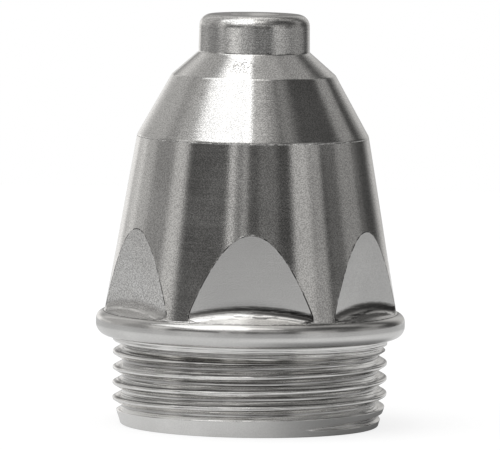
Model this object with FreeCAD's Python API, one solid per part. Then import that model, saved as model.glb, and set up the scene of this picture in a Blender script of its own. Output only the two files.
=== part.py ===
import FreeCAD, Part
import math
import os

# Plasma torch nozzle, turned and milled from one piece of copper.
# Millimetres, +Z up. The origin is the middle of the base end, on the nozzle's axis.
# The front of the nozzle, at -Y, is the middle of one wrench flat.

# Heights above the base end
total_height = 26.95
upper_knuckle_height = 19.03
tip_knuckle_height = 23.0
neck_foot_height = 24.5

# Outside radii where one cone meets the next, from the flange up to the tip
upper_knuckle_radius = 7.58
tip_knuckle_radius = 5.36
neck_foot_radius = 3.64
neck_top_radius = 3.60
neck_top_rounding = 0.75

# Flange
flange_radius = 10.13
flange_underside_height = 5.86
flange_top_height = 7.45
rim_upper_rounding = 0.55
rim_lower_rounding = 0.75

# Wrench flats, each with a concave foot and a sloping floor that runs out on the flange's rim
flat_count = 6
width_across_flats = 17.2
first_flat_direction = -90.0
flat_foot_radius = 0.8
floor_slope = 27.0
floor_edge_radius = 9.68

# External thread, right-handed, running up into a relief groove under the flange
thread_diameter = 18.0
thread_pitch = 1.0
thread_flank_angle = 60.0
thread_depth = 0.6134 * thread_pitch
thread_root_width = 0.125 * thread_pitch
thread_end_direction = 141.0
relief_extra_depth = 0.03
relief_root_width = 0.1
relief_top_height = 5.49
relief_upper_flank_angle = 18.0

# Lead-in taper below the thread
lead_in_height = 1.7
lead_in_angle = 18.0

# Inside, from the base end to the tip
seat_bore_diameter = 14.0
seat_bore_depth = 8.0
seat_bore_chamfer = 0.4
chamber_diameter = 12.0
chamber_top_height = 15.0
funnel_half_angle = 30.0
throat_diameter = 3.2
throat_half_angle = 50.0
orifice_diameter = 1.3
countersink_diameter = 3.15
countersink_slope = 18.0

# How far a cutting tool stands clear of the stock
tool_clearance = 0.08
mill_overreach = 3.0

# Points closer than this are one point
same_point = 0.0001

origin = FreeCAD.Vector(0, 0, 0)
nozzle_axis = FreeCAD.Vector(0, 0, 1)


def tangent(angle):
    """Rise over run of a line at this angle in degrees."""
    return math.tan(math.radians(angle))


def section_point(radius, height):
    """A point of the half section, in the XZ plane."""
    return FreeCAD.Vector(radius, 0, height)


def eased_corner(before, corner, after, rounding):
    """A corner broken by two narrow tapers that follow the rounding's arc.

    The three points are the arc's start, middle and end.
    """
    back = (before - corner).normalize()
    onward = (after - corner).normalize()
    half_angle = back.getAngle(onward) / 2
    setback = rounding / math.tan(half_angle)
    sagitta = rounding / math.sin(half_angle) - rounding
    middle = corner + (back + onward).normalize() * sagitta
    return [corner + back * setback, middle, corner + onward * setback]


def revolve(corners):
    """The solid that a half section sweeps round the axis.

    Each corner is (radius, height), or (radius, height, rounding).
    A corner where the rounding before it ends isn't repeated.
    """
    points = [section_point(*corner[:2]) for corner in corners]
    outline = []
    for number, corner in enumerate(corners):
        if len(corner) == 3:
            after = points[(number + 1) % len(points)]
            outline += eased_corner(points[number - 1], points[number], after, corner[2])
        elif not outline or not points[number].isEqual(outline[-1], same_point):
            outline.append(points[number])
    outline.append(outline[0])
    return Part.Face(Part.makePolygon(outline)).revolve(origin, nozzle_axis, 360)


def rim_top(radius):
    """Height of the rim's upper taper at a radius.

    It is the first of the two tapers that break the rim's square corner.
    """
    taper_angle = 90 / 4
    across = radius - (flange_radius - rim_upper_rounding)
    return flange_top_height - across * tangent(taper_angle)


def floor_height(radius):
    """Height of the sloping floor at the foot of the flats, at a radius."""
    return rim_top(floor_edge_radius) + (floor_edge_radius - radius) * tangent(floor_slope)


def thread_mouth(root_width, depth):
    """Width of a vee groove at the crest of the thread."""
    return root_width + 2 * depth * tangent(thread_flank_angle / 2)


def relief_groove():
    """Half section of the groove that ends the thread, from its lower lip up to its steep upper flank."""
    crest = thread_diameter / 2
    depth = thread_depth + relief_extra_depth
    root = crest - depth
    root_top = relief_top_height - depth * tangent(relief_upper_flank_angle)
    root_foot = root_top - relief_root_width
    return [
        (crest, root_foot - depth * tangent(thread_flank_angle / 2)),
        (root, root_foot),
        (root, root_top),
        (crest, relief_top_height),
    ]


def outer_blank():
    """The turned outside: lead-in, spigot with its relief groove, flange, three cones and the tip's neck.

    The longest cone starts at the knee, where the rim's upper rounding ends.
    """
    spigot_radius = thread_diameter / 2
    knee_radius = flange_radius - rim_upper_rounding
    base_radius = spigot_radius - lead_in_height * tangent(lead_in_angle)
    return revolve(
        [(0, 0), (base_radius, 0), (spigot_radius, lead_in_height)]
        + relief_groove()
        + [
            (spigot_radius, flange_underside_height),
            (flange_radius, flange_underside_height, rim_lower_rounding),
            (flange_radius, flange_top_height, rim_upper_rounding),
            (knee_radius, flange_top_height),
            (upper_knuckle_radius, upper_knuckle_height),
            (tip_knuckle_radius, tip_knuckle_height),
            (neck_foot_radius, neck_foot_height),
            (neck_top_radius, total_height, neck_top_rounding),
            (0, total_height),
        ]
    )


def flat_cutter():
    """What is milled off for the flat facing +X.

    Its inner side is the flat and its underside is the sloping floor.
    The edge between them is rounded, so that the flat's foot comes out concave.
    """
    apothem = width_across_flats / 2
    reach = flange_radius + mill_overreach
    hill_radius = math.hypot(reach, reach) + mill_overreach
    hill_foot = floor_height(hill_radius)
    hill = revolve([(0, hill_foot), (hill_radius, hill_foot), (0, floor_height(0))])
    hill.rotate(origin, nozzle_axis, 180)
    corner = FreeCAD.Vector(apothem, -reach, hill_foot)
    block = Part.makeBox(reach - apothem, 2 * reach, upper_knuckle_height - hill_foot, corner)
    cutter = block.cut(hill)
    foot_edges = [
        edge for edge in cutter.Edges
        if isinstance(edge.Curve, Part.Hyperbola) and edge.BoundBox.XMax < apothem + tool_clearance
    ]
    cutter = cutter.makeFillet(flat_foot_radius, foot_edges)
    return cutter.common(Part.makeCylinder(floor_edge_radius, upper_knuckle_height))


def mill_flats(nozzle):
    """The nozzle with its wrench flats, evenly spaced round the axis."""
    for number in range(flat_count):
        cutter = flat_cutter()
        cutter.rotate(origin, nozzle_axis, first_flat_direction + number * 360 / flat_count)
        nozzle = nozzle.cut(cutter)
    return nozzle


def thread_cutter():
    """A vee groove along a right-handed helix, from below the base up to the relief groove.

    One turn is swept, and the turns under it are the same one moved down by the pitch.
    """
    crest = thread_diameter / 2
    root = crest - thread_depth
    outside = crest + tool_clearance
    half_root = thread_root_width / 2
    half_mouth = thread_mouth(thread_root_width, thread_depth + tool_clearance) / 2
    end_height = relief_top_height - thread_mouth(thread_root_width, thread_depth) / 2
    turn_count = math.ceil((end_height + half_mouth) / thread_pitch)
    helix = Part.makeHelix(thread_pitch, thread_pitch, crest)
    vee = Part.makePolygon([
        FreeCAD.Vector(root, 0, -half_root),
        FreeCAD.Vector(root, 0, half_root),
        FreeCAD.Vector(outside, 0, half_mouth),
        FreeCAD.Vector(outside, 0, -half_mouth),
        FreeCAD.Vector(root, 0, -half_root),
    ])
    turn = helix.makePipeShell([vee], True, True)
    turn.rotate(origin, nozzle_axis, thread_end_direction)
    turn.translate(FreeCAD.Vector(0, 0, end_height - thread_pitch))
    lower_turns = [
        turn.translated(FreeCAD.Vector(0, 0, -number * thread_pitch))
        for number in range(1, turn_count)
    ]
    return turn.fuse(lower_turns)


def hollow():
    """What is bored out: seat bore, chamber, funnel, throat, orifice and its shallow countersink."""
    seat = seat_bore_diameter / 2
    chamber = chamber_diameter / 2
    throat = throat_diameter / 2
    orifice = orifice_diameter / 2
    countersink = countersink_diameter / 2
    throat_height = chamber_top_height + (chamber - throat) / tangent(funnel_half_angle)
    orifice_foot = throat_height + (throat - orifice) / tangent(throat_half_angle)
    orifice_top = total_height - (countersink - orifice) * tangent(countersink_slope)
    below = -tool_clearance
    above = total_height + tool_clearance
    return revolve([
        (0, below),
        (seat + seat_bore_chamfer - below, below),
        (seat, seat_bore_chamfer),
        (seat, seat_bore_depth),
        (chamber, seat_bore_depth),
        (chamber, chamber_top_height),
        (throat, throat_height),
        (orifice, orifice_foot),
        (orifice, orifice_top),
        (countersink, total_height),
        (countersink, above),
        (0, above),
    ])


def nozzle():
    """The finished nozzle, one solid."""
    body = mill_flats(outer_blank())
    body = body.cut(hollow())
    return body.cut(thread_cutter())


os.makedirs("parts", exist_ok=True)
nozzle().exportStep("parts/nozzle.step")
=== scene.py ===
import bmesh
import bpy
import math
from mathutils import Matrix, Vector


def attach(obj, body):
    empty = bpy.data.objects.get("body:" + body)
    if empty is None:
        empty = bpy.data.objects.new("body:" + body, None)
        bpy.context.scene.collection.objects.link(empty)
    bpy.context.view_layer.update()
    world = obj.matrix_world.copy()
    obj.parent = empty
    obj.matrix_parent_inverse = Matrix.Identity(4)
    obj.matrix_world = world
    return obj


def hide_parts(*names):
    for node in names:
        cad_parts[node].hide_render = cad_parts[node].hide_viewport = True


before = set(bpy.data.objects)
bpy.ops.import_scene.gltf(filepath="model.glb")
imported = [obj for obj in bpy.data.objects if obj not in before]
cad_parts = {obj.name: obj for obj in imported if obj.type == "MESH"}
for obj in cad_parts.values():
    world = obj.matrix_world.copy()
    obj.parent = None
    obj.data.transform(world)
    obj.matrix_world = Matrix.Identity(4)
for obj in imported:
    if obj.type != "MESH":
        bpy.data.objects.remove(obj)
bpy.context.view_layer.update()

# The plasma torch nozzle as one closed skin, standing on its base with the tip up.
# Sizes are in millimetres and angles in degrees, except where a comment says otherwise.
mm = 0.001

# Cones and tip
upper_knuckle_height = 19.03
tip_knuckle_height = 23.0
neck_foot_height = 24.5
total_height = 26.95
upper_knuckle_radius = 7.58
tip_knuckle_radius = 5.36
neck_foot_radius = 3.64
neck_top_radius = 3.60
knuckle_rounding = 0.35
neck_foot_rounding = 0.14
neck_top_rounding = 0.75

# Flange
flange_radius = 10.13
flange_underside_height = 5.86
flange_top_height = 7.45
rim_upper_rounding = 0.55
rim_lower_rounding = 0.75
underside_corner_rounding = 0.08
knee_radius = flange_radius - rim_upper_rounding

# Wrench flats
flat_count = 6
apothem = 8.6
first_flat_direction = -90.0
flat_foot_radius = 0.8
floor_slope = 27.0
crease_radius = 9.68
edge_softness = 0.006

# External thread. It runs out into the relief groove at its top and fades near the base
spigot_radius = 9.0
thread_pitch = 1.0
thread_depth = 0.6134
thread_half_root = 0.0625
thread_flank_angle = 30.0
crest_rounding = 0.07
thread_end_direction = 141.0
thread_run_out = 75.0
base_fade_start = 0.32
base_fade_end = 0.62
relief_depth = 0.643
relief_right_loss = 0.30
relief_root_width = 0.1
relief_upper_flank_angle = 18.0
relief_top_height = 5.49
lead_in_height = 1.7
lead_in_angle = 18.0
base_edge_rounding = 0.15

# Inside
seat_bore_radius = 7.0
seat_bore_depth = 8.0
seat_bore_chamfer = 0.4
chamber_radius = 6.0
chamber_top_height = 15.0
chamber_rounding = 0.4
funnel_half_angle = 30.0
throat_radius = 1.6
throat_half_angle = 50.0
throat_rounding = 0.2
orifice_radius = 0.65
countersink_radius = 1.575
countersink_slope = 18.0
bore_edge_rounding = 0.05

# Columns round the nozzle, turns of the spun thread, and rows along each stretch of the section
column_count = 300
thread_turns = 7
rim_rows = 12
floor_rows = 4
fillet_rows = 10
flat_rows = 8
edge_rows = 8
cone_rows = 8
flank_rows = 5
base_edge_rows = 5

# How close rows stand to the end of a rounding, to a flat's edge, and to the thread's root and lip
guard = 0.04
edge_band = 0.07
root_gap = 0.02
flank_foot_gap = 0.055
flank_top_gap = 0.04
lip_gap = 0.018
crest_gap = 0.045

# How close two points, or a point and a level, are to be taken as one
same_point = 0.0005
sliver_length = 0.0003
cut_reach = 0.0001
level_reach = 0.002
ring_margin = 0.1

# The finishes, by number
turned_finish, milled_finish, flange_finish, thread_finish, bore_finish, tip_finish, pitted_finish = range(7)

# Where one finish gives way to the next
crease_margin = 0.03
milled_margin = 0.004
flats_limit_height = 16.0
tip_face_depth = 0.06
pitted_side = 4.0
pitted_foot = 0.5


def tangent(angle):
    """Rise over run of a line at this angle in degrees."""
    return math.tan(math.radians(angle))


# The crease where the flats' floor meets the rim, on the rim's upper rounding
crease_lift = math.sqrt(rim_upper_rounding ** 2 - (crease_radius - knee_radius) ** 2)
crease_height = flange_top_height - rim_upper_rounding + crease_lift

# The long cone, and the height at which the floor's slope, carried on, would meet it
cone_slope = (knee_radius - upper_knuckle_radius) / (upper_knuckle_height - flange_top_height)
floor_rise = crease_height - flange_top_height + (crease_radius - knee_radius) * tangent(floor_slope)
rib_foot_height = flange_top_height + floor_rise / (1 - cone_slope * tangent(floor_slope))

# The thread's mouth and end, its relief groove, and where the spun thread meets the land above it
thread_half_mouth = thread_half_root + thread_depth * tangent(thread_flank_angle)
thread_end_height = relief_top_height - thread_half_mouth
relief_root_top = relief_top_height - relief_depth * tangent(relief_upper_flank_angle)
relief_root_foot = relief_root_top - relief_root_width
thread_top_height = relief_top_height + guard
land_foot_height = relief_top_height + 2 * guard

# The hollow's heights
throat_height = chamber_top_height + (chamber_radius - throat_radius) / tangent(funnel_half_angle)
orifice_foot_height = throat_height + (throat_radius - orifice_radius) / tangent(throat_half_angle)
orifice_top_height = total_height - (countersink_radius - orifice_radius) * tangent(countersink_slope)


def ramp(value, low, high):
    """Smooth step from 0 at low to 1 at high."""
    share = min(max((value - low) / (high - low), 0), 1)
    return share * share * (3 - 2 * share)


def spread(start, end, count):
    """Evenly spaced values from start up to, but without, end."""
    return [start + (end - start) * number / count for number in range(count)]


def rounded(corners):
    """Section points along straight lines with rounded corners.

    Each corner is (radius, height, rounding, steps). A point stands close to each end of a rounding,
    so that the shading of the straight lines stays straight.
    """
    points = [Vector(corner[:2]) for corner in corners]
    outline = [points[0]]
    for number in range(1, len(corners) - 1):
        rounding, steps = corners[number][2:]
        corner = points[number]
        back = (points[number - 1] - corner).normalized()
        onward = (points[number + 1] - corner).normalized()
        half_angle = back.angle(onward) / 2
        setback = rounding / math.tan(half_angle)
        centre = corner + (back + onward).normalized() * rounding / math.sin(half_angle)
        start = (corner + back * setback - centre).normalized()
        end = (corner + onward * setback - centre).normalized()
        outline.append(corner + back * (setback + guard))
        outline += [centre + start.slerp(end, step / steps) * rounding for step in range(steps + 1)]
        outline.append(corner + onward * (setback + guard))
    outline.append(points[-1])
    return outline


def cone_radius(height):
    """Radius of the long cone above the flange."""
    return knee_radius - (height - flange_top_height) * cone_slope


def floor_height(radius):
    """Height of the sloping floor at the flats' feet."""
    return crease_height + (crease_radius - radius) * tangent(floor_slope)


def floor_radius(height):
    """Radius of the sloping floor at a height."""
    return crease_radius - (height - crease_height) / tangent(floor_slope)


def foot_fillet(turn):
    """The concave rounding at a flat's foot, cut by the plane through the axis at this angle from the flat.

    Returns the distance of its centre from the axis, square to the flat, the centre's height,
    and the height at which it runs out on the floor.
    """
    slope = math.atan(tangent(floor_slope) / math.cos(turn))
    centre = apothem + flat_foot_radius
    centre_height = floor_height(centre / math.cos(turn)) + flat_foot_radius / math.cos(slope)
    return centre, centre_height, centre_height - flat_foot_radius * math.cos(slope)


def milled_radius(turn, height):
    """Radius of the flat, its foot fillet and its floor at a height."""
    centre, centre_height, end_height = foot_fillet(turn)
    if height >= centre_height:
        return apothem / math.cos(turn)
    if height >= end_height:
        drop = centre_height - height
        return (centre - math.sqrt(max(flat_foot_radius ** 2 - drop ** 2, 0))) / math.cos(turn)
    return floor_radius(height)


def body_radius(turn, height):
    """Radius of the cone with its flats milled, the edge between them barely broken."""
    cone = cone_radius(height)
    milled = milled_radius(turn, height)
    overlap = max(edge_softness - abs(cone - milled), 0) / edge_softness
    return min(cone, milled) - overlap * overlap * edge_softness / 4


def flat_turn(azimuth):
    """Angle in radians from the middle of the nearest flat."""
    share = (azimuth - first_flat_direction) * flat_count / 360
    return math.radians((share - round(share)) * 360 / flat_count)


def flat_edge_distance(azimuth, height):
    """How far a point of the milled cone is from the edge of a flat, in millimetres."""
    turn = flat_turn(azimuth)
    slope = math.hypot(cone_slope, math.tan(turn))
    return (milled_radius(turn, height) - cone_radius(height)) / slope


def flats_section(azimuth):
    """Section points of the milled cone, from the rib's foot up to just under the upper knuckle.

    The rows of every azimuth are as many, over the floor, the fillet, the flat, its edge and the cone.
    """
    turn = flat_turn(azimuth)
    arch = flange_top_height + (knee_radius - apothem / math.cos(turn)) / cone_slope
    edge = max(arch, rib_foot_height + 2 * edge_band)
    centre_height, end_height = foot_fillet(turn)[1:]
    fillet_end = min(max(end_height, rib_foot_height), edge - 1.5 * edge_band)
    fillet_start = min(max(centre_height, fillet_end), edge - edge_band)
    top = upper_knuckle_height - 3 * guard
    heights = spread(rib_foot_height, fillet_end, floor_rows)
    heights += spread(fillet_end, fillet_start, fillet_rows)
    heights += spread(fillet_start, edge - edge_band, flat_rows)
    heights += spread(edge - edge_band, edge + edge_band, edge_rows)
    heights += spread(edge + edge_band, top, cone_rows) + [top]
    return [Vector((body_radius(turn, height), height)) for height in heights]


def rim_section():
    """Section points of the flange, from its underside out over the rim to the crease."""
    side_top = flange_top_height - rim_upper_rounding
    points = rounded([
        (spigot_radius, land_foot_height, 0, 0),
        (spigot_radius, flange_underside_height, underside_corner_rounding, 4),
        (flange_radius, flange_underside_height, rim_lower_rounding, 12),
        (flange_radius, side_top, 0, 0),
    ])
    crease_angle = math.asin(crease_lift / rim_upper_rounding)
    for step in range(1, rim_rows + 1):
        angle = crease_angle * step / rim_rows
        outward = Vector((math.cos(angle), math.sin(angle))) * rim_upper_rounding
        points.append(Vector((knee_radius, side_top)) + outward)
    past_crease = crease_radius - guard
    return points + [Vector((past_crease, floor_height(past_crease)))]


def upper_and_inner_section():
    """Section points from the upper knuckle over the tip and down the hollow to the base."""
    foot = upper_knuckle_height - 2 * guard
    return rounded([
        (cone_radius(foot), foot, 0, 0),
        (upper_knuckle_radius, upper_knuckle_height, knuckle_rounding, 5),
        (tip_knuckle_radius, tip_knuckle_height, knuckle_rounding, 5),
        (neck_foot_radius, neck_foot_height, neck_foot_rounding, 4),
        (neck_top_radius, total_height, neck_top_rounding, 12),
        (countersink_radius, total_height, bore_edge_rounding, 3),
        (orifice_radius, orifice_top_height, bore_edge_rounding, 3),
        (orifice_radius, orifice_foot_height, bore_edge_rounding, 2),
        (throat_radius, throat_height, throat_rounding, 3),
        (chamber_radius, chamber_top_height, chamber_rounding, 4),
        (chamber_radius, seat_bore_depth, bore_edge_rounding, 2),
        (seat_bore_radius, seat_bore_depth, bore_edge_rounding, 2),
        (seat_bore_radius, seat_bore_chamfer, bore_edge_rounding, 2),
        (seat_bore_radius + seat_bore_chamfer, 0, 0, 0),
    ])


def place(vertex, azimuth, point):
    """Moves a vertex to a section point at an azimuth in degrees."""
    turn = math.radians(azimuth)
    radius, height = point
    vertex.co = Vector((radius * math.cos(turn), radius * math.sin(turn), height)) * mm


def azimuth_of(vertex):
    """Azimuth of a vertex in whole columns, as degrees from 0 up to 360."""
    column = round(math.degrees(math.atan2(vertex.co.y, vertex.co.x)) * column_count / 360)
    return column % column_count * 360 / column_count


def new_chain(mesh, points):
    """A line of vertices at section points, at azimuth 0, with the edges between them.

    Each vertex keeps its number in the layer named row.
    """
    row = mesh.verts.layers.int["row"]
    chain = [mesh.verts.new((radius * mm, 0, height * mm)) for radius, height in points]
    for number, vertex in enumerate(chain):
        vertex[row] = number
    return chain + [mesh.edges.new(pair) for pair in zip(chain, chain[1:])]


def add_turned_body(mesh):
    """Spins the section round the axis, then gives each column the section of its own azimuth."""
    rim = rim_section()
    upper = upper_and_inner_section()
    row = mesh.verts.layers.int["row"]
    flat_edge = mesh.verts.layers.float["flat_edge"]
    foot = mesh.verts.layers.float["foot"]
    start = rim + flats_section(0) + upper
    bmesh.ops.spin(
        mesh, geom=new_chain(mesh, start), cent=(0, 0, 0), axis=(0, 0, 1), angle=math.tau,
        steps=column_count, use_merge=True,
    )
    sections = {}
    for vertex in mesh.verts:
        azimuth = azimuth_of(vertex)
        if azimuth not in sections:
            sections[azimuth] = rim + flats_section(azimuth) + upper
        point = sections[azimuth][vertex[row]]
        place(vertex, azimuth, point)
        in_flats = len(rim) <= vertex[row] < len(start) - len(upper)
        vertex[flat_edge] = flat_edge_distance(azimuth, point[1]) if in_flats else 1
        vertex[foot] = point[1] - foot_fillet(flat_turn(azimuth))[2] if in_flats else -1


def lead_in_radius(height):
    """Radius of the taper below the thread."""
    return spigot_radius - max(lead_in_height - height, 0) * tangent(lead_in_angle)


def softened(depth):
    """Depth of a groove whose lips are rounded over."""
    if depth > crest_rounding:
        return depth
    if depth < -crest_rounding:
        return 0
    return (depth + crest_rounding) ** 2 / (4 * crest_rounding)


def thread_groove(azimuth, height):
    """Depth of the helical groove. It runs out at its upper end and at the base."""
    climb = thread_end_height + (azimuth - thread_end_direction) / 360 * thread_pitch
    turns = round((height - climb) / thread_pitch)
    middle = climb + turns * thread_pitch
    depth = thread_depth * ramp(middle, base_fade_start, base_fade_end)
    past_end = (middle - thread_end_height) / thread_pitch * 360
    depth *= 1 - ramp(past_end, 0, thread_run_out)
    past_root = max(abs(height - middle) - thread_half_root, 0)
    return softened(depth - past_root / tangent(thread_flank_angle)) if depth > 0 else 0


def relief_groove(azimuth, height):
    """Depth of the groove that ends the thread, shallower at the right."""
    depth = relief_depth - relief_right_loss * max(math.cos(math.radians(azimuth)), 0) ** 2
    below = max(relief_root_foot - height, 0) / tangent(thread_flank_angle)
    above = max(height - relief_root_top, 0) / tangent(relief_upper_flank_angle)
    return softened(depth - below - above)


def thread_radius(azimuth, height):
    """Radius of the threaded spigot: helical groove, relief groove, lead-in taper."""
    groove = max(thread_groove(azimuth, height), relief_groove(azimuth, height))
    return min(spigot_radius - groove, lead_in_radius(height))


def thread_phases():
    """Heights of the thread's rows above a root's middle, over one pitch, closer together at its edges."""
    root = thread_half_root
    mouth = thread_half_mouth
    half = [0, root - root_gap, root, root + root_gap]
    half += spread(root + flank_foot_gap, mouth - flank_top_gap, flank_rows) + [mouth - flank_top_gap]
    half += [mouth - lip_gap, mouth, mouth + lip_gap, mouth + crest_gap]
    below = [thread_pitch - height for height in reversed(half[1:])]
    return half + [thread_pitch / 2] + below + [thread_pitch]


def with_edges_and_faces(corners):
    """Vertices together with the edges and faces on them."""
    edges = dict.fromkeys(edge for vertex in corners for edge in vertex.link_edges)
    faces = dict.fromkeys(face for vertex in corners for face in vertex.link_faces)
    return corners + list(edges) + list(faces)


def parts_of_kind(geometry, kind):
    """The vertices, the edges or the faces of what an operator returns."""
    return [part for part in geometry if isinstance(part, kind)]


def corners_outside(mesh, body):
    """The vertices that aren't in the set of the body's."""
    return [vertex for vertex in mesh.verts if vertex not in body]


def shape_thread(mesh, strip, foot, phases):
    """Moves the vertices of the spun strip on to the thread's surface."""
    row = mesh.verts.layers.int["row"]
    for vertex in strip:
        phase = foot + phases[vertex[row]]
        step = round((vertex.co.z / mm - phase) / thread_pitch * column_count)
        azimuth = step % column_count * 360 / column_count
        height = phase + step * thread_pitch / column_count
        place(vertex, azimuth, (thread_radius(azimuth, height), height))
    bmesh.ops.remove_doubles(mesh, verts=strip, dist=same_point * mm)


def add_thread(mesh):
    """Spins one pitch of the thread along its helix, stacks its turns and cuts them level at both ends."""
    body = set(mesh.verts)
    phases = thread_phases()
    foot = (thread_end_height - thread_end_direction / 360 * thread_pitch) % thread_pitch - 2 * thread_pitch
    chain = new_chain(mesh, [(spigot_radius, foot + height) for height in phases])
    bmesh.ops.spin(
        mesh, geom=chain, cent=(0, 0, 0), axis=(0, 0, 1), angle=math.tau,
        dvec=(0, 0, thread_pitch / column_count * mm), steps=column_count, use_merge=False,
    )
    turn = with_edges_and_faces(corners_outside(mesh, body))
    for number in range(1, thread_turns):
        copy = bmesh.ops.duplicate(mesh, geom=turn)["geom"]
        corners = parts_of_kind(copy, bmesh.types.BMVert)
        bmesh.ops.translate(mesh, verts=corners, vec=(0, 0, number * thread_pitch * mm))
    shape_thread(mesh, corners_outside(mesh, body), foot, phases)
    for height, side in ((base_edge_rounding, -1), (thread_top_height, 1)):
        bmesh.ops.bisect_plane(
            mesh, geom=with_edges_and_faces(corners_outside(mesh, body)), dist=cut_reach * mm,
            plane_co=(0, 0, height * mm), plane_no=(0, 0, side), clear_outer=True,
        )


def is_level(edge, height, reach):
    """True where both ends of an edge lie at a height."""
    return all(abs(vertex.co.z / mm - height) < reach for vertex in edge.verts)


def open_ring(mesh, height, least_radius, most_radius):
    """The open edges that lie level at a height, between two radii."""
    ring = []
    for edge in mesh.edges:
        if edge.is_boundary and is_level(edge, height, level_reach):
            radius = math.hypot(edge.verts[0].co.x, edge.verts[0].co.y) / mm
            if least_radius < radius < most_radius:
                ring.append(edge)
    return ring


def rounded_base_edge(mesh, ring):
    """Extrudes a ring of edges inward and down to the base, step by step, and returns its last ring."""
    inward = 0
    for step in range(1, base_edge_rows + 1):
        turn = math.radians(90 * step / base_edge_rows)
        height = base_edge_rounding * (1 - math.sin(turn))
        shift = base_edge_rounding * (1 - math.cos(turn)) - inward
        inward += shift
        grown = bmesh.ops.extrude_edge_only(mesh, edges=ring)["geom"]
        for vertex in parts_of_kind(grown, bmesh.types.BMVert):
            radius = math.hypot(vertex.co.x, vertex.co.y) / mm
            azimuth = math.degrees(math.atan2(vertex.co.y, vertex.co.x))
            place(vertex, azimuth, (radius - shift, height))
        edges = parts_of_kind(grown, bmesh.types.BMEdge)
        ring = [edge for edge in edges if is_level(edge, height, same_point)]
    return ring


def close_base(mesh):
    """Rounds the base's outer edge, closes the base and joins the thread to the land above it."""
    ring = rounded_base_edge(mesh, open_ring(mesh, base_edge_rounding, seat_bore_radius, flange_radius))
    mouth_radius = seat_bore_radius + seat_bore_chamfer + ring_margin
    bore = open_ring(mesh, 0, seat_bore_radius, mouth_radius)
    bmesh.ops.bridge_loops(mesh, edges=ring + bore)
    thread_top = open_ring(mesh, thread_top_height, chamber_radius, flange_radius)
    land_foot = open_ring(mesh, land_foot_height, chamber_radius, flange_radius)
    bmesh.ops.bridge_loops(mesh, edges=thread_top + land_foot)


def finish_of(centre, normal):
    """The finish of a face, from its middle and its normal."""
    radius = math.hypot(centre.x, centre.y) / mm
    height = centre.z / mm
    outward = normal.x * centre.x + normal.y * centre.y
    in_orifice = radius < countersink_radius and height > throat_height
    in_hollow = outward < 0 and height < throat_height
    if in_orifice or in_hollow:
        return bore_finish
    if height < flange_underside_height:
        return thread_finish
    if height < crease_height + crease_margin:
        return flange_finish
    if cone_radius(height) - radius > milled_margin and height < flats_limit_height:
        pitted = centre.x < -pitted_side * mm and height > flange_top_height + pitted_foot
        return pitted_finish if pitted else milled_finish
    if neck_foot_height + neck_foot_rounding < height < total_height - tip_face_depth:
        return tip_finish
    return turned_finish


def make_nozzle(materials):
    """The nozzle, one closed skin round the whole part."""
    mesh = bmesh.new()
    mesh.verts.layers.int.new("row")
    mesh.verts.layers.float.new("flat_edge")
    mesh.verts.layers.float.new("foot")
    add_turned_body(mesh)
    add_thread(mesh)
    close_base(mesh)
    bmesh.ops.remove_doubles(mesh, verts=mesh.verts[:], dist=same_point * mm)
    bmesh.ops.dissolve_degenerate(mesh, edges=mesh.edges[:], dist=sliver_length * mm)
    bmesh.ops.recalc_face_normals(mesh, faces=mesh.faces[:])
    for face in mesh.faces:
        face.smooth = True
        face.material_index = finish_of(face.calc_center_median(), face.normal)
    data = bpy.data.meshes.new("nozzle_skin")
    mesh.to_mesh(data)
    mesh.free()
    for material in materials:
        data.materials.append(material)
    piece = bpy.data.objects.new("nozzle_skin", data)
    bpy.context.scene.collection.objects.link(piece)
    return piece


# The plating, with the scales of its noises for each metre
plate_dark = (0.62, 0.615, 0.605, 1)
plate_light = (0.86, 0.855, 0.84, 1)
line_scale = (120, 120, 9000)
grain_scale = 15000.0
cloud_scale = 260.0
nick_scale = 2600.0
speck_band = (0.42, 0.58)
wear_band = (0.3, 0.7)
roughness_spread = 0.15
lines_direction = 0.25

# The dark marks and the painted shade. A band is where a noise turns from bare metal to a mark or to painted
# shade, and the core is the share of a line's half width that is fully dark
mark_and_shade_color = (0.10, 0.097, 0.095, 1)
line_core = 0.4
# Half width of the painted shade line along the flats' edges, in millimetres
edge_shade_half_width = 0.055
nick_band = (0.38, 0.5)

# The scuff beside the tip
scuff_spot = (-0.85 * mm, -4.36 * mm, 23.8 * mm)
scuff_scale = 6500.0
scuff_reach = 1.1
scuff_core = 0.3
scuff_band = (0.55, 0.62)
scuff_strength = 0.6

# The foot of the flats: painted shade in the fillet, a dark band with dashes under it, faint at the left and
# strongest near the middle
foot_shade_height = 0.50
foot_shade_half_width = 0.34
foot_shade_break = (0.36, 0.5)
foot_shade_least = 0.7
shade_dash_height = 0.14
shade_dash_half_width = 0.20
shade_dash_scale = (900, 900, 9000)
shade_dash_band = (0.52, 0.58)
left_shade = 0.3
middle_shade = 0.95
right_share = 0.75
left_to_middle = (-4 * mm, 3 * mm)
middle_to_right = (4 * mm, 6 * mm)

# The crease on the rim, with a painted shade line along it
crease_half_width = 0.06
crease_fade = 0.3

# The thread: streaks on its flanks, a line at its lips and painted shade along its root
streak_scale = (50, 50, 15000)
streak_band = (0.57, 0.59)
streak_strength = 0.6
streak_edge = (8.97 * mm, 8.9 * mm)
lip_line_radius = 8.87
lip_line_half_width = 0.09
lip_band = (0.3, 0.55)
lip_least = 0.2
lip_strength = 0.9
root_shade_edge = (8.43 * mm, 8.39 * mm)
root_shade_band = (0.3, 0.5)
root_shade_strength = 0.5
streaks_start = (1.6 * mm, 1.8 * mm)


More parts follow.
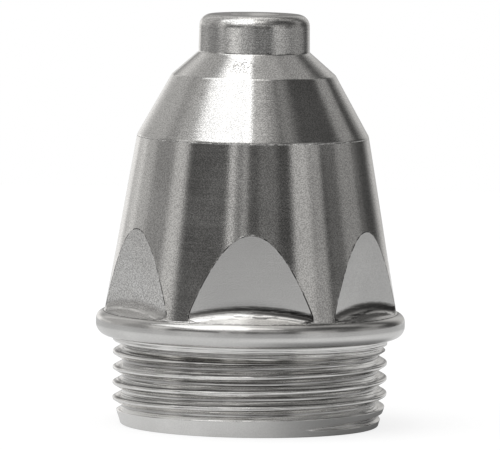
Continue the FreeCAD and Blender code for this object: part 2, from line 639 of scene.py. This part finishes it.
class Nodes:
    """A short way to add and join a node tree's nodes."""

    def __init__(self, tree):
        self.tree = tree
        self.tree.nodes.clear()

    def add(self, kind, settings, sockets):
        """A node with its settings, and its sockets by name or number, each joined or set to a value."""
        node = self.tree.nodes.new(kind)
        for name, value in settings.items():
            setattr(node, name, value)
        for name, value in sockets.items():
            if isinstance(value, bpy.types.NodeSocket):
                self.tree.links.new(value, node.inputs[name])
            else:
                node.inputs[name].default_value = value
        return node

    def math(self, operation, *values):
        """The result of one sum."""
        return self.add("ShaderNodeMath", {"operation": operation}, dict(enumerate(values))).outputs[0]

    def blend(self, value, low, high, start=0.0, end=1.0):
        """A smooth step of a value from low to high, or down where low is the higher."""
        sockets = dict(enumerate((value, low, high, start, end)))
        return self.add("ShaderNodeMapRange", {"interpolation_type": "SMOOTHSTEP"}, sockets).outputs[0]

    def mix(self, blend_type, share, first, second):
        """Two colours mixed."""
        settings = {"data_type": "RGBA", "blend_type": blend_type}
        return self.add("ShaderNodeMix", settings, {0: share, 6: first, 7: second}).outputs[2]

    def noise(self, space, scale, detail):
        """Noise from 0 to 1."""
        return self.add("ShaderNodeTexNoise", {}, {0: space, "Scale": scale, "Detail": detail}).outputs[0]

    def stretched(self, space, scale):
        """A space with its own scale along each axis."""
        return self.add("ShaderNodeMapping", {}, {"Vector": space, "Scale": scale}).outputs[0]

    def parts(self, space):
        """The three parts of a place or direction."""
        return self.add("ShaderNodeSeparateXYZ", {}, {0: space}).outputs

    def attribute(self, name):
        """A value that the mesh carries."""
        return self.add("ShaderNodeAttribute", {"attribute_name": name}, {}).outputs["Fac"]

    def near(self, value, middle, half_width):
        """1 where a value is close to a middle one, 0 past the half width."""
        away = self.math("ABSOLUTE", self.math("SUBTRACT", value, middle))
        return self.blend(away, half_width, half_width * line_core)

    def axis_distance(self, parts):
        """Distance from the nozzle's axis."""
        square = self.math("MULTIPLY", parts[1], parts[1])
        return self.math("SQRT", self.math("MULTIPLY_ADD", parts[0], parts[0], square))


def plating_tint(nodes, grain, cloud, marks_and_shade, lightness, speckle):
    """The plating's colour: clouded, speckled by its grain and dark in its marks and in its painted shade."""
    specks = nodes.blend(grain, *speck_band, lightness - speckle, lightness + speckle)
    tint = nodes.mix("MIX", cloud, plate_dark, plate_light)
    tint = nodes.mix("MULTIPLY", 1.0, tint, specks)
    return nodes.mix("MIX", marks_and_shade, tint, mark_and_shade_color)


def metal(
    name, lightness, speckle, roughness, anisotropy, lines_height, grain_height,
    marks_and_shade_of=None, nick_height=0.0,
):
    """Plated metal with fine turning lines round the axis, a fine grain, and some dark marks and painted
    shade.

    The heights are in millimetres. Lightness scales the plating's colour, and speckle is how much the
    grain changes it. What marks_and_shade_of names takes the nodes, the object's space and a coarse noise,
    and gives the marks and the painted shade, from 0 to 1.
    """
    material = bpy.data.materials.new(name)
    material.use_nodes = True
    nodes = Nodes(material.node_tree)
    space = nodes.add("ShaderNodeTexCoord", {}, {}).outputs["Object"]
    lines = nodes.noise(nodes.stretched(space, line_scale), 1.0, 2.0)
    grain = nodes.noise(space, grain_scale, 2.0)
    cloud = nodes.noise(space, cloud_scale, 3.0)
    nick = nodes.noise(space, nick_scale, 2.0)
    marks_and_shade = marks_and_shade_of(nodes, space, nick) if marks_and_shade_of else 0.0
    worn = nodes.math("MULTIPLY_ADD", lines, 0.5, nodes.math("MULTIPLY", cloud, 0.5))
    smoothest = roughness * (1 - roughness_spread)
    roughest = roughness * (1 + roughness_spread)
    height = nodes.math("MULTIPLY", lines, lines_height)
    height = nodes.math("MULTIPLY_ADD", grain, grain_height, height)
    height = nodes.math("MULTIPLY_ADD", nodes.math("MULTIPLY", nick, marks_and_shade), nick_height, height)
    bump = nodes.add("ShaderNodeBump", {}, {"Strength": 1.0, "Distance": mm, "Height": height})
    shader = nodes.add("ShaderNodeBsdfPrincipled", {}, {
        "Base Color": plating_tint(nodes, grain, cloud, marks_and_shade, lightness, speckle),
        "Metallic": 1.0,
        "Roughness": nodes.blend(worn, *wear_band, smoothest, roughest),
        "Normal": bump.outputs[0],
        "Anisotropic": anisotropy,
        "Anisotropic Rotation": lines_direction,
    })
    if anisotropy:
        around = nodes.add("ShaderNodeTangent", {"direction_type": "RADIAL", "axis": "Z"}, {})
        nodes.tree.links.new(around.outputs[0], shader.inputs["Tangent"])
    nodes.add("ShaderNodeOutputMaterial", {}, {0: shader.outputs[0]})
    return material


def flat_edge_shade_line(nodes, space, nick):
    """Painted shade: the thin dark line along the edges of the flats, broken here and there."""
    line = nodes.near(nodes.attribute("flat_edge"), 0.0, edge_shade_half_width)
    return nodes.math("MULTIPLY", line, nodes.blend(nick, *nick_band))


def scuff_and_edge_shade(nodes, space, nick):
    """The painted shade line along the edges of the flats, and a scuff by the tip."""
    away = nodes.add("ShaderNodeVectorMath", {"operation": "DISTANCE"}, {0: space, 1: scuff_spot})
    around = nodes.blend(away.outputs["Value"], scuff_reach * mm, scuff_core * mm)
    scrape = nodes.blend(nodes.noise(space, scuff_scale, 1.0), *scuff_band, 0.0, scuff_strength)
    return nodes.math("MAXIMUM", flat_edge_shade_line(nodes, space, nick), nodes.math("MULTIPLY", around, scrape))


def flat_edge_and_foot_shade(nodes, space, nick):
    """The painted shade line along the edges of a flat, and the painted shade at its foot: a dark band in the
    fillet with dashes under it.
    """
    above_floor = nodes.attribute("foot")
    across = nodes.parts(space)[0]
    streaks = nodes.noise(nodes.stretched(space, shade_dash_scale), 1.0, 1.0)
    foot_shade_band = nodes.near(above_floor, foot_shade_height, foot_shade_half_width)
    foot_shade_band = nodes.math("MULTIPLY", foot_shade_band, nodes.blend(streaks, *foot_shade_break, foot_shade_least, 1.0))
    shade_dashes = nodes.near(above_floor, shade_dash_height, shade_dash_half_width)
    shade_dashes = nodes.math("MULTIPLY", shade_dashes, nodes.blend(streaks, *shade_dash_band))
    shade = nodes.blend(across, *left_to_middle, left_shade, middle_shade)
    shade = nodes.math("MULTIPLY", shade, nodes.blend(across, *middle_to_right, 1.0, right_share))
    # Painted shade at the flat's foot, fainter at the left
    foot = nodes.math("MULTIPLY", nodes.math("MAXIMUM", shade_dashes, foot_shade_band), shade)
    return nodes.math("MAXIMUM", flat_edge_shade_line(nodes, space, nick), foot)


def crease_shade_line(nodes, space, nick):
    """Painted shade along the nicked crease where the flats' floor runs out on the rim."""
    parts = nodes.parts(space)
    line = nodes.near(nodes.axis_distance(parts), crease_radius * mm, crease_half_width * mm)
    line = nodes.math("MULTIPLY", line, nodes.blend(nick, *nick_band))
    above = nodes.blend(parts[2], (crease_height - crease_fade) * mm, crease_height * mm)
    return nodes.math("MULTIPLY", line, above)


def thread_marks_and_root_shade(nodes, space, nick):
    """Thin dark streaks on the thread's flanks, a broken line at its lips and painted shade along its root.
    """
    parts = nodes.parts(space)
    radius = nodes.axis_distance(parts)
    streaks = nodes.noise(nodes.stretched(space, streak_scale), 1.0, 1.0)
    thin = nodes.blend(streaks, *streak_band, 0.0, streak_strength)
    thin = nodes.math("MULTIPLY", thin, nodes.blend(radius, *streak_edge))
    lip = nodes.near(radius, lip_line_radius * mm, lip_line_half_width * mm)
    lip = nodes.math("MULTIPLY", lip, nodes.blend(streaks, *lip_band, lip_least, lip_strength))
    # Painted shade down in the groove's root, broken by the streaks
    root = nodes.blend(streaks, *root_shade_band, 0.0, root_shade_strength)
    root = nodes.math("MULTIPLY", root, nodes.blend(radius, *root_shade_edge))
    above_base = nodes.blend(parts[2], *streaks_start)
    thin = nodes.math("MULTIPLY", nodes.math("MAXIMUM", thin, lip), above_base)
    return nodes.math("MAXIMUM", thin, root)


def nozzle_materials():
    """The finishes, in the order of their numbers.

    Each line gives a name, lightness, speckle, roughness, anisotropy, the heights of the lines and the grain,
    and where there are marks or painted shade, what makes them and how high their nicks stand.
    """
    return [
        metal("turned_satin", 1.0, 0.23, 0.16, 0.75, 0.003, 0.0022, scuff_and_edge_shade, 0.03),
        metal("milled_flat", 1.0, 0.08, 0.15, 0.0, 0.0005, 0.0008, flat_edge_and_foot_shade, 0.012),
        metal("flange_bright", 1.0, 0.04, 0.2, 0.65, 0.001, 0.0008, crease_shade_line, 0.03),
        metal("thread_bright", 1.18, 0.04, 0.12, 0.0, 0.03, 0.002, thread_marks_and_root_shade),
        metal("bore_satin", 1.0, 0.05, 0.3, 0.0, 0.003, 0.002),
        metal("blasted_tip", 1.0, 0.26, 0.22, 0.5, 0.003, 0.0035),
        metal("pitted_flat", 1.0, 0.34, 0.18, 0.0, 0.001, 0.022, flat_edge_and_foot_shade, 0.012),
    ]


# What the metal mirrors: cards round the studio, each with its middle azimuth from the camera, half width,
# lowest and highest elevation and softness in degrees, and its brightness above the dim room's
studio_cards = {
    "backdrop": (-164, 12, -14, 10, 6, 0.85),
    "backdrop_left": (-132, 22, -3, 38, 6, 0.40),
    "backdrop_left_low": (-142, 14, 1, 9, 4, 0.28),
    "backdrop_left_upper": (-166, 18, 14, 50, 6, 0.40),
    "backdrop_left_top": (-135, 17, 38, 62, 6, 0.36),
    "backdrop_top": (180, 22, 48, 72, 6, 1.00),
    "backdrop_right": (162, 14, -14, 30, 12, 0.50),
    "backdrop_right_top": (130, 20, 42, 66, 7, 0.28),
    "left_wall": (-88, 22, 0, 48, 6, 0.22),
    "left_upper_wash": (-94, 20, 32, 46, 4, 0.10),
    "left_stripe": (-74, 8, 0, 26, 3, 0.27),
    "thin_left_stripe": (-19, 3, 0, 22, 2, 0.40),
    "left_stripe_glow": (-14, 10, 0, 22, 2, 0.12),
    "faint_left_stripe": (-7, 2.5, 0, 22, 2, 0.16),
    "faint_right_stripe": (15, 8.5, 0, 22, 2, 0.08),
    "right_stripe": (47, 9, 0, 24, 2.5, 0.42),
    "right_glow": (63, 6, 0, 24, 2, 0.26),
    "far_right_wash": (98, 24, 0, 24, 3, 0.06),
    "far_right_stripe": (101, 12, 0, 20, 4, 0.15),
    "far_right_top": (120, 11, 20, 38, 4, 0.24),
    "key_edge_glow": (7, 10, 36, 57, 6, 0.30),
    "right_upper_wash": (38, 22, 42, 56, 5, 0.12),
    "right_upper_stripe": (46, 6, 44, 54, 4, 0.10),
    "front_top_glow": (14, 24, 57, 84, 5, 0.85),
    "front_upper_glow": (-24, 22, 36, 48, 3, 0.50),
    "front_middle_glow": (-30, 60, 25, 35, 3, 0.50),
    "right_middle_glow": (56, 24, 24, 34, 4, 0.14),
    "low_left_wall": (-112, 24, -16, 6, 3, 0.05),
    "low_left_glow": (-66, 8, -16, 1, 6, 0.26),
    "low_left_panel": (-41, 15, -16, 0, 9, 1.35),
    "low_front_panel": (-8, 10, -16, 1, 6, 0.16),
    "low_right_panel": (60, 16, -16, 0, 8, 0.38),
    "low_right_wall": (100, 26, -16, 1, 3, 0.16),
}
room_brightness = 0.06
ceiling_brightness = 0.36
ceiling_start = 60.0
ceiling_full = 72.0
studio_tint = (1, 0.985, 0.965, 1)

# What the camera sees past the nozzle, and the light that falls on dull surfaces
white = (1, 1, 1, 1)
soft_light = 0.75


def studio(nodes):
    """Brightness of the studio in each direction."""
    parts = nodes.parts(nodes.add("ShaderNodeTexCoord", {}, {}).outputs["Generated"])
    toward_camera = nodes.math("MULTIPLY", parts[1], -1.0)
    azimuth = nodes.math("DEGREES", nodes.math("ARCTAN2", parts[0], toward_camera))
    elevation = nodes.math("DEGREES", nodes.math("ARCSINE", parts[2]))
    ceiling = nodes.blend(elevation, ceiling_start, ceiling_full)
    total = nodes.math("MULTIPLY_ADD", ceiling, ceiling_brightness, room_brightness)
    for middle, half_width, low, high, soft, brightness in studio_cards.values():
        away = nodes.math("WRAP", nodes.math("SUBTRACT", azimuth, middle), 180.0, -180.0)
        away = nodes.math("ABSOLUTE", away)
        inside = nodes.blend(away, half_width + soft, half_width - soft)
        inside = nodes.math("MULTIPLY", inside, nodes.blend(elevation, low - soft, low + soft))
        inside = nodes.math("MULTIPLY", inside, nodes.blend(elevation, high + soft, high - soft))
        total = nodes.math("MULTIPLY_ADD", inside, brightness, total)
    return total


def background(nodes, color, strength):
    """One plain light from all round."""
    return nodes.add("ShaderNodeBackground", {}, {"Color": color, "Strength": strength}).outputs[0]


def make_world():
    """White to the camera, plain for soft light, and the studio where metal mirrors it."""
    world = bpy.data.worlds.new("studio")
    bpy.context.scene.world = world
    world.use_nodes = True
    nodes = Nodes(world.node_tree)
    path = nodes.add("ShaderNodeLightPath", {}, {}).outputs
    mirrored = background(nodes, studio_tint, studio(nodes))
    seen = background(nodes, white, 1.0)
    soft = background(nodes, white, soft_light)
    total = nodes.add("ShaderNodeMixShader", {}, {0: path["Is Camera Ray"], 1: soft, 2: seen}).outputs[0]
    total = nodes.add("ShaderNodeMixShader", {}, {0: path["Is Glossy Ray"], 1: total, 2: mirrored}).outputs[0]
    nodes.add("ShaderNodeOutputWorld", {}, {0: total})


# The key lamp, a large soft box overhead, mostly at the left, in metres
key_height = 0.6
key_left = -0.57
key_right = -0.015
key_front = -0.57
key_back = 0.14
key_radiance = 1.35


def make_key_lamp():
    """The large soft box overhead."""
    data = bpy.data.lights.new("key_lamp", "AREA")
    data.shape = "RECTANGLE"
    data.size = key_right - key_left
    data.size_y = key_back - key_front
    data.energy = key_radiance * math.pi * data.size * data.size_y
    lamp = bpy.data.objects.new("key_lamp", data)
    lamp.location = ((key_left + key_right) / 2, (key_front + key_back) / 2, key_height)
    bpy.context.scene.collection.objects.link(lamp)


# The floor, in metres, with its lift for the camera and its painted glow in the metal, which stands in for
# light and shadow on the
# floor: close to the base from left to right, in a ring round it, farther out, and at the back. Each pair is
# where one gives way to the next
floor_reach = 0.2
floor_sides = 96
floor_shade = 0.32
floor_lift = 0.74
close_left_glow = 0.37
close_right_glow = 0.0
ring_glow = 0.40
far_glow = 0.19
back_glow = 0.55
left_to_right = (-0.004, 0.007)
close_to_ring = (0.012, 0.02)
ring_to_far = (0.045, 0.065)
front_to_back = (0.07, 0.17)


def painted_floor_glow(nodes, space):
    """Painted light: how bright the floor glows where the metal mirrors it, lit at the left by the base and
    dark at the right where the lamp's shadow would lie.
    """
    parts = nodes.parts(space)
    reach = nodes.add("ShaderNodeVectorMath", {"operation": "LENGTH"}, {0: space}).outputs["Value"]
    close = nodes.blend(parts[0], *left_to_right, close_left_glow, close_right_glow)
    around = nodes.blend(reach, *ring_to_far, ring_glow, far_glow)
    around = nodes.blend(parts[1], *front_to_back, around, back_glow)
    away = nodes.blend(reach, *close_to_ring)
    return nodes.add("ShaderNodeMix", {}, {0: away, 2: close, 3: around}).outputs[0]


def floor_paint():
    """Pale paint that the camera sees white outside the nozzle's shadow, with a painted glow that only the
    metal mirrors.
    """
    material = bpy.data.materials.new("floor_white")
    material.use_nodes = True
    nodes = Nodes(material.node_tree)
    color = (floor_shade, floor_shade, floor_shade, 1)
    paint = nodes.add("ShaderNodeBsdfDiffuse", {}, {"Color": color}).outputs[0]
    path = nodes.add("ShaderNodeLightPath", {}, {}).outputs
    space = nodes.add("ShaderNodeTexCoord", {}, {}).outputs["Object"]
    lift = nodes.math("MULTIPLY", path["Is Glossy Ray"], painted_floor_glow(nodes, space))
    lift = nodes.math("MULTIPLY_ADD", path["Is Camera Ray"], floor_lift, lift)
    glow = nodes.add("ShaderNodeEmission", {}, {"Strength": lift}).outputs[0]
    total = nodes.add("ShaderNodeAddShader", {}, {0: paint, 1: glow}).outputs[0]
    nodes.add("ShaderNodeOutputMaterial", {}, {0: total})
    return material


def make_floor():
    """A round pale floor under the nozzle."""
    mesh = bmesh.new()
    bmesh.ops.create_circle(mesh, cap_ends=True, segments=floor_sides, radius=floor_reach)
    data = bpy.data.meshes.new("floor")
    mesh.to_mesh(data)
    mesh.free()
    data.materials.append(floor_paint())
    floor = bpy.data.objects.new("floor", data)
    bpy.context.scene.collection.objects.link(floor)


# The camera: a long lens half a metre off, a little above the nozzle and rolled a little.
# The last two are how far the photo's middle is from where the camera aims, in pixels
camera_distance = 500.0
camera_elevation = 4.613
camera_aim_height = 14.0
camera_roll = 0.809
camera_lens = 549.3
sensor_width = 36
nearest_seen = 0.01
farthest_seen = 50
picture_width = 500
aim_right = 1.964
aim_up = 13.425


def make_camera():
    """The camera at the photo's angle."""
    data = bpy.data.cameras.new("camera")
    data.lens = camera_lens
    data.sensor_width = sensor_width
    data.clip_start = nearest_seen
    data.clip_end = farthest_seen
    data.shift_x = -aim_right / picture_width
    data.shift_y = -aim_up / picture_width
    camera = bpy.data.objects.new("camera", data)
    bpy.context.scene.collection.objects.link(camera)
    elevation = math.radians(camera_elevation)
    back = Vector((0, -math.cos(elevation), math.sin(elevation)))
    turn = (-back).to_track_quat("-Z", "Y").to_matrix() @ Matrix.Rotation(math.radians(camera_roll), 3, "Z")
    spot = Vector((0, 0, camera_aim_height)) + back * camera_distance
    camera.matrix_world = Matrix.Translation(spot * mm) @ turn.to_4x4()
    bpy.context.scene.camera = camera


nozzle = make_nozzle(nozzle_materials())
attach(nozzle, "root")
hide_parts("nozzle")
make_floor()
make_world()
make_key_lamp()
make_camera()
bpy.context.scene.view_settings.view_transform = "Standard"
